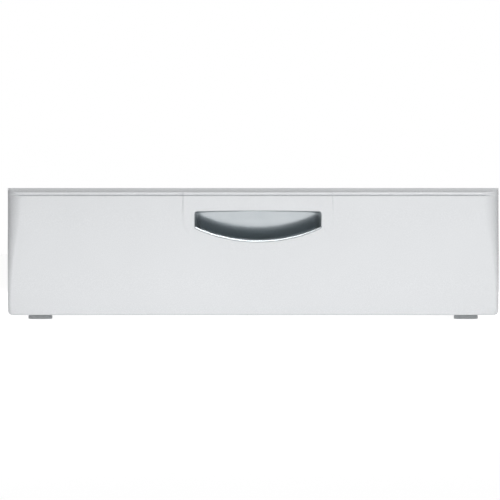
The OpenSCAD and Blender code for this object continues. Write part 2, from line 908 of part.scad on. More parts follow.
module drawer_inner_front() {
    color(white) difference() {
        union() {
            box([-box_x, box_front, box_z], [box_x, box_front + box_t, box_top]);
            both_sides()
                box([-box_x + box_t, box_front, box_z + 3 * box_t],
                    [-box_x + 2 * box_t, box_front + box_flange, box_top - 2 * box_t]);
        }
        front_screws_tool();
        both_sides() side_rivet_tool(hole_clear);
    }
}

module front_screws_tool() {
    for (x = front_boss_xs, z = front_boss_zs)
        translate([x, box_front - eps, z]) rotate([-90, 0, 0]) cylinder(r = screw_r, h = box_t + 2 * eps);
}

module drawer_side(side) {
    color(white) on_side(side) difference() {
        union() {
            box([-box_x, box_front + box_t, box_z], [-box_x + box_t, box_back, box_top]);
            box([-box_x, box_front + box_t, box_z], [-box_x + box_flange, box_back, box_z + box_t]);
            box([-box_x, box_front + box_t, box_top - box_t], [-box_x + hem_w, box_back, box_top]);
            box([-box_x + hem_w - box_t, box_front + box_t + box_flange + eps, box_top - hem_drop],
                [-box_x + hem_w, box_back - box_flange - eps, box_top]);
        }
        drawer_slide_fixings(hole_clear);
        side_rivet_tool(hole_clear);
        floor_rivet_tool(hole_clear);
    }
}

module drawer_bottom() {
    color(white) difference() {
        box([-box_x + box_t, box_front + box_t, box_z + box_t],
            [box_x - box_t, box_back - box_t, box_z + 2 * box_t]);
        both_sides() floor_rivet_tool(hole_clear);
    }
}

module drawer_back() {
    color(white) difference() {
        union() {
            box([-box_x + box_t, box_back - box_t, box_z + box_t],
                [box_x - box_t, box_back, box_top - box_t]);
            both_sides()
                box([-box_x + box_t, box_back - box_flange, box_z + 3 * box_t],
                    [-box_x + 2 * box_t, box_back, box_top - 2 * box_t]);
        }
        both_sides() side_rivet_tool(hole_clear);
    }
}

module side_rivet_tool(g) {
    for (y = side_rivet_ys, z = side_rivet_zs)
        translate([-box_x, y, z]) rotate([0, -90, 0])
            screw(rivet_r + g, 2 * box_t + rivet_grip, rivet_head_r, rivet_head_h);
}

module floor_rivet_tool(g) {
    step = (box_d - 2 * floor_rivet_inset) / (floor_rivet_count - 1);
    for (i = [0:floor_rivet_count - 1])
        translate([-box_x + rivet_line, box_front + floor_rivet_inset + i * step, box_z])
            rotate([180, 0, 0])
                screw(rivet_r + g, 2 * box_t + rivet_grip, rivet_head_r, rivet_head_h);
}

module drawer_rivets() {
    color(steel) both_sides() {
        side_rivet_tool(0);
        floor_rivet_tool(0);
    }
}

// ---- what is drawn ----

side_panel(-1);  // left_side_panel
side_panel(1);  // right_side_panel
back_panel();
top_deck();
upper_front_rail();
lower_front_rail();
lower_rear_rail();
deck_brace(seat_y - seat_span_y / 2);  // front_deck_brace
deck_brace(seat_y + seat_span_y / 2);  // rear_deck_brace
slide_bracket(-1);  // left_slide_bracket
slide_bracket(1);  // right_slide_bracket
foot_brackets();
foot_weld_nuts();
foot_lock_nuts();
cabinet_screws();
rail_rivets();
outer_member(-1);  // left_outer_member
outer_member(1);  // right_outer_member
slide_cabinet_screws();
middle_member(-1);  // left_middle_member
middle_member(1);  // right_middle_member
outer_cage(-1);  // left_outer_cage
outer_cage(1);  // right_outer_cage
inner_cage(-1);  // left_inner_cage
inner_cage(1);  // right_inner_cage
balls(-1, outer_ball_t, outer_ball_h);  // left_outer_balls
balls(1, outer_ball_t, outer_ball_h);  // right_outer_balls
balls(-1, inner_ball_t, inner_ball_h);  // left_inner_balls
balls(1, inner_ball_t, inner_ball_h);  // right_inner_balls
inner_member(-1);  // left_inner_member
inner_member(1);  // right_inner_member
slide_drawer_screws();
lever_pins();
release_lever(-1);  // left_release_lever
release_lever(1);  // right_release_lever
drawer_front();
handle_cup();
handle_screws();
front_stiffener();
drawer_inner_front();
drawer_bottom();
drawer_side(-1);  // drawer_left_side
drawer_side(1);  // drawer_right_side
drawer_back();
front_screws();
drawer_rivets();
closing_bumpers();
stud(-foot_x, foot_front_y);  // front_left_stud
stud(foot_x, foot_front_y);  // front_right_stud
stud(-foot_x, foot_rear_y);  // rear_left_stud
stud(foot_x, foot_rear_y);  // rear_right_stud
foot(-foot_x, foot_front_y);  // front_left_foot
foot(foot_x, foot_front_y);  // front_right_foot
foot(-foot_x, foot_rear_y);  // rear_left_foot
foot(foot_x, foot_rear_y);  // rear_right_foot
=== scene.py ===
import json
import math

import bpy
import bmesh
import numpy as np
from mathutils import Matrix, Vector

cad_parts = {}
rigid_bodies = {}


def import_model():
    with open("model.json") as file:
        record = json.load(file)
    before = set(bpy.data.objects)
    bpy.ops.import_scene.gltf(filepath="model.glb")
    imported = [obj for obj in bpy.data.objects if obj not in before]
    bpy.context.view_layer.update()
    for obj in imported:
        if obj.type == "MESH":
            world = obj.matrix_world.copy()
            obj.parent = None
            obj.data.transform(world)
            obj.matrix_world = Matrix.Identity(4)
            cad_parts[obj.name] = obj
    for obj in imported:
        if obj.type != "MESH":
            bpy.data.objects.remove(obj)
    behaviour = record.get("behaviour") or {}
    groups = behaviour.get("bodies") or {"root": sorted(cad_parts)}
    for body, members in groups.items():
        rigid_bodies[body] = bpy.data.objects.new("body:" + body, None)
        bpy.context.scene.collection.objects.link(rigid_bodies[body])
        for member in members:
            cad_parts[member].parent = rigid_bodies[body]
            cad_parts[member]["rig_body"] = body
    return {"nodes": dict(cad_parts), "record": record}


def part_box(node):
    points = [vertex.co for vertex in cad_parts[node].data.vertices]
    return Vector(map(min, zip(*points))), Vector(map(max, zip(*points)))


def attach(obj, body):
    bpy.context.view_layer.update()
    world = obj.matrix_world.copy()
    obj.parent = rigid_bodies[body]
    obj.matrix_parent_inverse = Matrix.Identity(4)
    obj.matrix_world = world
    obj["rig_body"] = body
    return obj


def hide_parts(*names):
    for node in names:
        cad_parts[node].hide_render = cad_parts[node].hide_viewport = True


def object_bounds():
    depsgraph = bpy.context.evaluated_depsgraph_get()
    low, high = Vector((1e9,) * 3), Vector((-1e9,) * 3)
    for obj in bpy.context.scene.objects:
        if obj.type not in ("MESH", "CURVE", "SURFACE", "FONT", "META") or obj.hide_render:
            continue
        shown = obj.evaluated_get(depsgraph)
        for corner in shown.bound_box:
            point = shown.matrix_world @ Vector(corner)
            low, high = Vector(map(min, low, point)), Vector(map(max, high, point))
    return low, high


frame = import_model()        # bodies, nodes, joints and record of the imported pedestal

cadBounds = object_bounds()
mm = 0.001               # the shape functions below work in millimetres
mergeDistance = 0.002 * mm
scene = bpy.context.scene
print("frame loaded,", len(frame["nodes"]), "nodes")


def boxOf(node):
    low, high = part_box(node)
    return [c / mm for c in low], [c / mm for c in high]


def toLinear(hexText, alpha=1.0):
    def channel(i):
        c = int(hexText[i:i + 2], 16) / 255
        return c / 12.92 if c <= 0.04045 else ((c + 0.055) / 1.055) ** 2.4
    return (channel(1), channel(3), channel(5), alpha)


def addNode(tree, kind, settings=None, values=None, links=None):
    node = tree.nodes.new(kind)
    for name, value in (settings or {}).items():
        setattr(node, name, value)
    for socket, value in (values or {}).items():
        node.inputs[socket].default_value = value
    for socket, source in (links or {}).items():
        tree.links.new(source, node.inputs[socket])
    return node


def smooth(t):
    t = min(max(t, 0.0), 1.0)
    return t * t * (3 - 2 * t)


def softMax(a, b, k):
    return 0.5 * (a + b + math.sqrt((a - b) ** 2 + k))


def softMin(a, b, k):
    return 0.5 * (a + b - math.sqrt((a - b) ** 2 + k))


def nearest(values, value):
    return min(range(len(values)), key=lambda k: abs(values[k] - value))


def spread(start, stop, step):
    count = max(1, math.ceil(abs(stop - start) / step))
    return [start + (stop - start) * i / count for i in range(count + 1)]


def joinSpans(spans):
    values = [spans[0][0]]
    for start, stop, step in spans:
        values += spread(start, stop, step)[1:]
    return values


def makeFinish(name, look):
    # broad patches or flat crystals shade the colour; a fine grain varies the gloss and lifts the skin.
    # patch, crystal, grain and relief are in millimetres, rough is the lowest and the highest roughness
    material = bpy.data.materials.new(name)
    material.use_nodes = True
    tree = material.node_tree
    links = tree.links
    shader = tree.nodes["Principled BSDF"]
    where = addNode(tree, "ShaderNodeTexCoord").outputs["Object"]
    along = where
    if "stretch" in look:
        along = addNode(tree, "ShaderNodeMapping", values={"Scale": look["stretch"]},
                        links={"Vector": where}).outputs[0]
    patterns = {}
    for pattern, detail in (("patch", look.get("patchDetail", 2)), ("grain", 4)):
        if pattern in look:
            noise = addNode(tree, "ShaderNodeTexNoise", links={"Vector": along},
                            values={"Scale": 1 / (look[pattern] * mm), "Detail": detail})
            patterns[pattern] = noise.outputs["Fac"]
    if "crystal" in look:
        cells = addNode(tree, "ShaderNodeTexVoronoi", values={"Scale": 1 / (look["crystal"] * mm)},
                        links={"Vector": where}).outputs["Color"]
        patterns["crystal"] = addNode(tree, "ShaderNodeSeparateColor", links={"Color": cells}).outputs[0]

    shade = patterns["crystal" if "crystal" in look else "patch"]
    ramp = addNode(tree, "ShaderNodeValToRGB", links={"Fac": shade})
    ramp.color_ramp.interpolation = "EASE"
    for element, at, key in zip(ramp.color_ramp.elements, (0.25, 0.75), ("light", "dark")):
        element.position = at
        element.color = toLinear(look[key])
    tone = ramp.outputs["Color"]
    if "paintedShadeTone" in look:
        # between the first and the second depth behind the front, the colour darkens: painted shade deep in
        # the pocket
        front = cadBounds[0][1]
        behind = addNode(tree, "ShaderNodeSeparateXYZ", links={"Vector": where}).outputs["Y"]
        share = addNode(tree, "ShaderNodeMapRange", {"interpolation_type": "SMOOTHSTEP"},
                        {"From Min": front + look["paintedShadeFrom"] * mm, "From Max": front + look["paintedShadeTo"] * mm},
                        {"Value": behind}).outputs["Result"]
        tone = addNode(tree, "ShaderNodeMix", {"data_type": "RGBA"}, {7: toLinear(look["paintedShadeTone"])},
                       {0: share, 6: tone}).outputs[2]      # 0, 6 and 7 are the colour mix's inputs
    links.new(tone, shader.inputs["Base Color"])

    if "grain" in look:
        low, high = look["rough"]
        gloss = patterns["crystal" if "crystal" in look else "grain"]
        rough = addNode(tree, "ShaderNodeMapRange", links={"Value": gloss},       # a noise keeps to 0.3..0.7
                        values={"From Min": 0.3, "From Max": 0.7, "To Min": low, "To Max": high})
        links.new(rough.outputs["Result"], shader.inputs["Roughness"])
        bump = addNode(tree, "ShaderNodeBump", links={"Height": patterns["grain"]},
                       values={"Strength": look["bump"], "Distance": look["relief"] * mm})
        links.new(bump.outputs["Normal"], shader.inputs["Normal"])
    for key, socket in (("ior", "IOR"), ("metallic", "Metallic")):
        if key in look:
            shader.inputs[socket].default_value = look[key]
    return material


# moulded ABS: a fine spark-eroded grain that keeps the light soft, and a faint cloudiness
frontAbs = makeFinish("satinMouldedAbs", {
    "light": "#e3e5e7", "dark": "#e1e3e5", "patch": 140, "grain": 0.9, "relief": 0.02,
    "bump": 0.35, "rough": (0.25, 0.29), "ior": 1.53})
# powder coat on steel: the slight orange peel of a baked finish
powderCoat = makeFinish("whitePowderCoat", {
    "light": "#e6e7e8", "dark": "#e1e2e3", "patch": 120, "grain": 1.6, "relief": 0.05,
    "bump": 0.5, "rough": (0.32, 0.36), "ior": 1.5})
# silver paint on ABS: metal flake under a satin clear, so it shades from light to dark steeply;
# deep in the cup the colour is painted darker, painted shade standing in for the pocket's shadow
silverPaint = makeFinish("satinSilverPaint", {
    "light": "#bfc4c7", "dark": "#b9bfc2", "patch": 30, "patchDetail": 3, "grain": 0.35, "relief": 0.01,
    "bump": 0.3, "rough": (0.24, 0.38), "metallic": 0.86, "paintedShadeTone": "#9fa6aa", "paintedShadeFrom": 7, "paintedShadeTo": 16})
# hot-dip galvanised sheet: flat crystals 7 mm across, each a little lighter or darker than the next
galvanised = makeFinish("galvanisedSheet", {
    "light": "#c3c7c9", "dark": "#a4a9ac", "crystal": 7, "grain": 0.6, "relief": 0.01,
    "bump": 0.3, "rough": (0.3, 0.46), "metallic": 1.0})
# bright zinc on rolled steel: the roll lines run along the slide
rolledZinc = makeFinish("brightZincRolledSteel", {
    "light": "#c9cccd", "dark": "#b2b6b9", "patch": 25, "patchDetail": 3, "grain": 1.2, "relief": 0.01,
    "bump": 0.35, "rough": (0.2, 0.34), "metallic": 1.0, "stretch": (1.0, 0.04, 1.0)})
# passivated zinc: a little yellow, with cloudy patches
passivatedZinc = makeFinish("passivatedZinc", {
    "light": "#cfccbd", "dark": "#b9b6a8", "patch": 6, "patchDetail": 3, "grain": 0.5, "relief": 0.01,
    "bump": 0.4, "rough": (0.24, 0.38), "metallic": 1.0})
# hardened ball steel: lapped bright, with a film of grease
ballSteel = makeFinish("lappedBallSteel", {
    "light": "#d7d9da", "dark": "#c4c7c9", "patch": 3, "patchDetail": 3, "grain": 1.0, "relief": 0.002,
    "bump": 0.2, "rough": (0.07, 0.21), "metallic": 1.0})
# nitrile rubber: matt and slightly dusty
nitrileRubber = makeFinish("mattNitrileRubber", {
    "light": "#28282a", "dark": "#1d1d1f", "patch": 8, "grain": 0.5, "relief": 0.03,
    "bump": 0.6, "rough": (0.7, 0.74), "ior": 1.52})
# black nylon: a dull sheen from glass fibre close to the skin
blackNylon = makeFinish("glassFilledNylon", {
    "light": "#2b2c2f", "dark": "#222326", "patch": 5, "grain": 0.4, "relief": 0.02,
    "bump": 0.5, "rough": (0.46, 0.5), "ior": 1.53})
# light grey nylon of the feet: moulded, faintly scuffed
greyNylon = makeFinish("greyMouldedNylon", {
    "light": "#cfd1d3", "dark": "#c5c7ca", "patch": 9, "grain": 0.6, "relief": 0.03,
    "bump": 0.6, "rough": (0.48, 0.52), "ior": 1.53})

finishes = {
    "front_moulding": frontAbs, "silver_cup": silverPaint, "white_enamel": powderCoat,
    "galvanised_steel": galvanised, "slide_steel": rolledZinc, "zinc_steel": passivatedZinc,
    "ball_steel": ballSteel, "black_rubber": nitrileRubber, "black_nylon": blackNylon,
    "grey_nylon": greyNylon}
slotOf = {part["node"]: part["material_slot"] for part in frame["record"]["subparts"]}
for nodeName, nodeObject in frame["nodes"].items():
    nodeObject.data.materials.clear()
    nodeObject.data.materials.append(finishes[slotOf[nodeName]])
print("materials on", len(frame["nodes"]), "nodes")


# places and sizes in metres, turns in degrees
studio = {
    "distance": 4.0, "aim": (-0.0044, 0.0975), "lens": 207.4, "sensor": 36.0, "clipStart": 0.05,
    "panelDistance": 2.0,              # a wide panel low in front, and a narrow bright one above it
    "keyPanel": {"turn": 1, "rise": 11, "width": 2.2, "height": 1.1, "watts": 7.6},
    "stripPanel": {"turn": 16, "rise": 44, "width": 1.5, "height": 0.14, "watts": 15.0},
    # a white card on the floor, close in front, lifts the lower part of the face
    "floorCard": {"ahead": 0.2, "up": 0.015, "aimUp": 0.06, "width": 1.3, "height": 0.02, "watts": 0.22},
    "topPanel": {"place": (0.15, -0.2, 2.0), "width": 1.8, "height": 1.2, "watts": 5.0},
    # behind both rear corners, out of the front's sight
    "rearPanel": {"aside": 1.2, "behind": 2.0, "up": 0.8, "target": (0, 0, 0.1), "width": 1.2, "height": 0.8,
                  "watts": 9.0},
    # the room is lighter in front than at the back, and dim at both sides
    "roomFront": 0.26, "roomBack": 0.22, "dimFrom": 0.3, "dimTo": 0.25,
    "floorHalf": 60.0, "floorGlow": 0.85, "floorBounce": 0.31, "floorSheen": 0.73, "floorRough": 0.9,
}
studioPaper = {"light": "#c6c6c6", "dark": "#c2c2c3", "patch": 400}       # matt paper, faintly cloudy


def areaLight(name, place, target):
    panel = studio[name]
    data = bpy.data.lights.new(name, "AREA")
    data.shape = "RECTANGLE"
    data.size = panel["width"]
    data.size_y = panel["height"]
    data.energy = panel["watts"]
    light = bpy.data.objects.new(name, data)
    light.location = place
    light.rotation_euler = (Vector(target) - Vector(place)).to_track_quat("-Z", "Y").to_euler()
    scene.collection.objects.link(light)
    return light


def makeCamera(frontY):
    data = bpy.data.cameras.new("camera")
    data.lens = studio["lens"]
    data.sensor_width = studio["sensor"]
    data.clip_start = studio["clipStart"]
    camera = bpy.data.objects.new("camera", data)
    camera.location = (studio["aim"][0], frontY - studio["distance"], studio["aim"][1])
    camera.rotation_euler = (math.pi / 2, 0, 0)
    scene.collection.objects.link(camera)
    scene.camera = camera


def makeLights(frontY, middle):
    for name in ("keyPanel", "stripPanel"):
        turn = math.radians(studio[name]["turn"])
        rise = math.radians(studio[name]["rise"])
        towards = Vector((math.cos(rise) * math.sin(turn), -math.cos(rise) * math.cos(turn), math.sin(rise)))
        areaLight(name, middle + studio["panelDistance"] * towards, middle)
    card = studio["floorCard"]
    cardPlace = (0.0, frontY - card["ahead"], card["up"])
    floorCard = areaLight("floorCard", cardPlace, (0.0, frontY, card["aimUp"]))
    floorCard.visible_camera = False
    floorCard.visible_glossy = False
    areaLight("topPanel", studio["topPanel"]["place"], middle)
    behind = studio["rearPanel"]
    for side in (-1, 1):
        rearPlace = (behind["aside"] * side, behind["behind"], behind["up"])
        rear = areaLight("rearPanel", rearPlace, behind["target"])
        rear.visible_camera = False


def makeRoom():
    # white paper where the camera looks, a dim room for everything else
    world = bpy.data.worlds.new("studio")
    scene.world = world
    world.use_nodes = True
    tree = world.node_tree
    white = (1, 1, 1, 1)
    paper = tree.nodes["Background"]
    paper.inputs["Color"].default_value = white
    paper.inputs["Strength"].default_value = 1.0
    around = addNode(tree, "ShaderNodeTexCoord").outputs["Generated"]
    axes = addNode(tree, "ShaderNodeSeparateXYZ", links={"Vector": around})
    front = addNode(tree, "ShaderNodeMapRange", links={"Value": axes.outputs["Y"]},
                    values={"From Min": -1.0, "From Max": 1.0,
                            "To Min": studio["roomFront"], "To Max": studio["roomBack"]})
    sideways = addNode(tree, "ShaderNodeMath", {"operation": "ABSOLUTE"}, links={0: axes.outputs["X"]})
    dim = addNode(tree, "ShaderNodeMapRange", links={"Value": sideways.outputs[0]},
                  values={"From Min": studio["dimFrom"], "From Max": 1.0,
                          "To Min": 1.0, "To Max": studio["dimTo"]})
    level = addNode(tree, "ShaderNodeMath", {"operation": "MULTIPLY"},
                    links={0: front.outputs["Result"], 1: dim.outputs["Result"]})
    room = addNode(tree, "ShaderNodeBackground", values={"Color": white},
                   links={"Strength": level.outputs[0]})
    seen = addNode(tree, "ShaderNodeLightPath").outputs["Is Camera Ray"]
    mixed = addNode(tree, "ShaderNodeMixShader", links={0: seen, 1: room.outputs[0], 2: paper.outputs[0]})
    tree.links.new(mixed.outputs[0], tree.nodes["World Output"].inputs["Surface"])
    scene.view_settings.view_transform = "Standard"


def makeFloor():
    half = studio["floorHalf"]
    mesh = bpy.data.meshes.new("floor")
    mesh.from_pydata([(-half, -half, 0), (half, -half, 0), (half, half, 0), (-half, half, 0)], [],
                     [(0, 1, 2, 3)])
    floor = bpy.data.objects.new("floor", mesh)
    scene.collection.objects.link(floor)
    material = makeFinish("paleStudioPaper", studioPaper)
    tree = material.node_tree
    shader = tree.nodes["Principled BSDF"]
    shader.inputs["Emission Color"].default_value = (1, 1, 1, 1)
    # the sweep glows as lit paper does, but throws less of it on what stands there
    path = addNode(tree, "ShaderNodeLightPath").outputs
    glow = addNode(tree, "ShaderNodeMapRange", links={"Value": path["Is Camera Ray"]},
                   values={"To Min": studio["floorBounce"], "To Max": studio["floorGlow"]}).outputs["Result"]
    glow = addNode(tree, "ShaderNodeMath", {"operation": "MULTIPLY_ADD"},
                   {1: studio["floorSheen"] - studio["floorBounce"]},
                   {0: path["Is Glossy Ray"], 2: glow}).outputs[0]
    tree.links.new(glow, shader.inputs["Emission Strength"])
    shader.inputs["Roughness"].default_value = studio["floorRough"]
    mesh.materials.append(material)


def makeStudio():
    low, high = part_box("drawer_front")
    makeCamera(low.y)
    makeLights(low.y, Vector((0, low.y, high.z / 2)))
    makeRoom()
    makeFloor()


makeStudio()
print("camera, lights and floor ready")


def gridLoop(i0, i1, j0, j1):
    # the four sides of a block of grid points, each without its last point
    south = [(i, j0) for i in range(i0, i1)]
    east = [(i1, j) for j in range(j0, j1)]
    north = [(i, j1) for i in range(i1, i0, -1)]
    west = [(i0, j) for j in range(j1, j0, -1)]
    return [south, east, north, west]


def reliefSheet(us, vs, front, back, edge, holes):
    # a front and a back skin on one grid, joined round every edge. front and back give a point for (u, v);
    # edge lists functions of (u, v) for the rings between the skins; a hole is a block with rings of its own
    verts, faces = [], []

    def addPoint(point):
        verts.append(tuple(point))
        return len(verts) - 1

    def strip(first, second, turned):
        n = len(first)
        for k in range(n):
            quad = (first[k], first[(k + 1) % n], second[(k + 1) % n], second[k])
            faces.append(quad[::-1] if turned else quad)

    def insideHole(i, j):
        return any(i0 < i < i1 and j0 < j < j1 for i0, i1, j0, j1 in blocks)

    blocks = [hole["block"] for hole in holes]
    covered = {(i, j) for i0, i1, j0, j1 in blocks for i in range(i0, i1) for j in range(j0, j1)}
    skins = []
    for skin, turned in ((front, False), (back, True)):
        index = {}
        for i in range(len(us)):
            for j in range(len(vs)):
                if not insideHole(i, j):
                    index[i, j] = addPoint(skin(us[i], vs[j]))
        for i in range(len(us) - 1):
            for j in range(len(vs) - 1):
                if (i, j) in covered:
                    continue
                quad = (index[i, j], index[i + 1, j], index[i + 1, j + 1], index[i, j + 1])
                faces.append(quad[::-1] if turned else quad)
        skins.append(index)

    outer = [p for side in gridLoop(0, len(us) - 1, 0, len(vs) - 1) for p in side]
    rings = [[skins[0][p] for p in outer]]
    rings += [[addPoint(ring(us[i], vs[j])) for i, j in outer] for ring in edge]
    rings.append([skins[1][p] for p in outer])
    for first, second in zip(rings, rings[1:]):
        strip(first, second, True)

    for hole in holes:
        sides = gridLoop(*hole["block"])
        around = [p for side in sides for p in side]
        counts = [len(side) for side in sides]
        rings = [[skins[0][p] for p in around]]
        for ring in hole["rings"](counts, [(us[i], vs[j]) for i, j in around]):
            rings.append([addPoint(point) for point in ring])
        rings.append([skins[1][p] for p in around])
        for first, second in zip(rings, rings[1:]):
            strip(first, second, False)
    return verts, faces


def finishPiece(name, mesh, material, angle):
    work = bmesh.new()
    work.from_mesh(mesh)
    bmesh.ops.remove_doubles(work, verts=work.verts, dist=mergeDistance)
    bmesh.ops.recalc_face_normals(work, faces=work.faces)
    work.to_mesh(mesh)
    work.free()
    mesh.materials.clear()
    mesh.materials.append(material)
    mesh.shade_smooth()
    mesh.set_sharp_from_angle(angle=math.radians(angle))
    piece = bpy.data.objects.new(name, mesh)
    scene.collection.objects.link(piece)
    return piece


def makePiece(name, verts, faces, material, angle=35):
    mesh = bpy.data.meshes.new(name)
    mesh.from_pydata([(x * mm, y * mm, z * mm) for x, y, z in verts], [], faces)
    return finishPiece(name, mesh, material, angle)


def settle(piece, body, slotName, *nodes):
    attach(piece, body)
    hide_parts(*nodes)
    print("made", piece.name, len(piece.data.polygons), "faces")


# the finger opening's outline, shared by the front and its cup
opening = {
    "x": 6.6, "halfWidth": 88.3, "top": 151.5, "arcRadius": 212.0, "arcZ": 320.6,
    "topCorner": 4.0, "leastTopCorner": 0.6, "lowCorner": 2.2, "leastLowCorner": 0.4, "arch": 0.7,
    "lip": 2.6, "cornerSteps": 6, "arcStep": 2.0, "topStep": 3.0,
}


def openingSides(grow, lowGrow):
    # four lists of (x, z), each from corner to corner: bottom, right, top and left
    half = opening["halfWidth"] + grow
    top = opening["top"] + grow
    radius = opening["arcRadius"] + lowGrow
    corner = max(opening["topCorner"] + grow, opening["leastTopCorner"])
    lowCorner = max(opening["lowCorner"] + 0.5 * (grow + lowGrow), opening["leastLowCorner"])
    steps = opening["cornerSteps"]
    halfway = steps // 2

    def arcAt(x):
        return opening["arcZ"] - math.sqrt(radius ** 2 - x ** 2)

    def topAt(x):
        return top + opening["arch"] * (1 - (x / half) ** 2)

    def mirrored(line):
        return [(-x, z) for x, z in line[::-1]]

    # where the side meets the arc: a small round of lowCorner, its centre inside both lines
    cx = half - lowCorner
    cz = opening["arcZ"] - math.sqrt((radius - lowCorner) ** 2 - cx ** 2)
    tilt = math.atan2(cx, opening["arcZ"] - cz)       # where the round leaves the arc
    lowRound = [(cx + lowCorner * math.sin(a), cz - lowCorner * math.cos(a))
                for a in [tilt + (math.pi / 2 - tilt) * k / steps for k in range(steps + 1)]]
    tz = top - corner
    highRound = [(half - corner + corner * math.cos(a), tz + corner * math.sin(a))
                 for a in [math.pi / 2 * k / steps for k in range(steps + 1)]]
    bottomHalf = [(x, arcAt(x)) for x in spread(0, lowRound[0][0], opening["arcStep"])]
    topHalf = [(x, topAt(x)) for x in spread(half - corner, 0, opening["topStep"])]
    right = lowRound[halfway:] + highRound[:halfway + 1]
    bottomRight = bottomHalf + lowRound[1:halfway + 1]
    topRight = highRound[halfway:] + topHalf[1:]
    bottom = mirrored(bottomRight) + bottomRight[1:]
    topSide = topRight + mirrored(topRight)[1:]
    shift = opening["x"]
    return [[(x + shift, z) for x, z in side] for side in (bottom, right, topSide, mirrored(right))]


def eased(share, ease):
    # 0 to 1, closer together near both ends
    return share - ease * np.sin(2 * np.pi * share) / (2 * np.pi)


def alongLine(line, count, ease):
    # count points along a line, from its start, the last one left out
    line = np.array(line)
    steps = np.hypot(*np.diff(line, axis=0).T)
    run = np.concatenate([[0], np.cumsum(steps)])
    at = run[-1] * eased(np.arange(count) / count, ease)
    return list(zip(np.interp(at, run, line[:, 0]), np.interp(at, run, line[:, 1])))


def openingRing(counts, grow, lowGrow, ease=0.0):
    sides = openingSides(grow, lowGrow)
    return [p for side, n in zip(sides, counts) for p in alongLine(side, n, ease)]


frontLow, frontHigh = boxOf("drawer_front")
frontShell = {
    # the sides' rounding narrows towards the foot
    "sideRound": 23.0, "lowSideRound": 5.5, "sideRoundPower": 1.4, "sideDepth": 25.0, "lowRound": 6.0,
    "footRound": 2.0, "footTrim": 1.0, "draft": 2.0, "crown": 5000.0, "crownZ": 95.0, "proud": 0.6,
    # the top edge: a groove, a step, a roll and a hollow bevel
    "grooveDepth": 2.6, "grooveWidth": 0.6, "grooveDrop": 2.0, "grooveMiddle": 1.2, "stepRise": 1.2,
    "stepFrom": 1.8, "rollRadius": 3.0, "bevelLow": 10.0, "bevelHigh": 34.0, "bevelHeight": 5.7,
    "reliefFade": 3.0, "cornerSoft": 0.15,
    # the raised pad round the opening, crisper above than below
    "padHalf": 103.9, "padArc": 224.0, "padCorner": 16.0, "padDepth": 0.3, "padSoftTop": 0.7,
    "padSoftLow": 2.6, "padSoftFrom": 120.0, "padSoftRun": 40.0,
    "wall": 3.0, "skin": 5.1, "rim": 2.0,
    "holeRound": 0.25, "holeGap": 0.05, "holeLowGap": 0.5, "holeSteps": 4,
    "holeMargin": 6.0, "holeLow": 103.5, "holeTopMargin": 5.0,
    # grid steps
    "fine": 1.5, "fineReach": 112.0, "fineAbove": 90.0, "wide": 7.0, "tall": 4.0,
    "sideSteps": 10, "lowSteps": 7, "grooveStep": 0.16, "rollStep": 0.3, "bevelStep": 1.0,
}


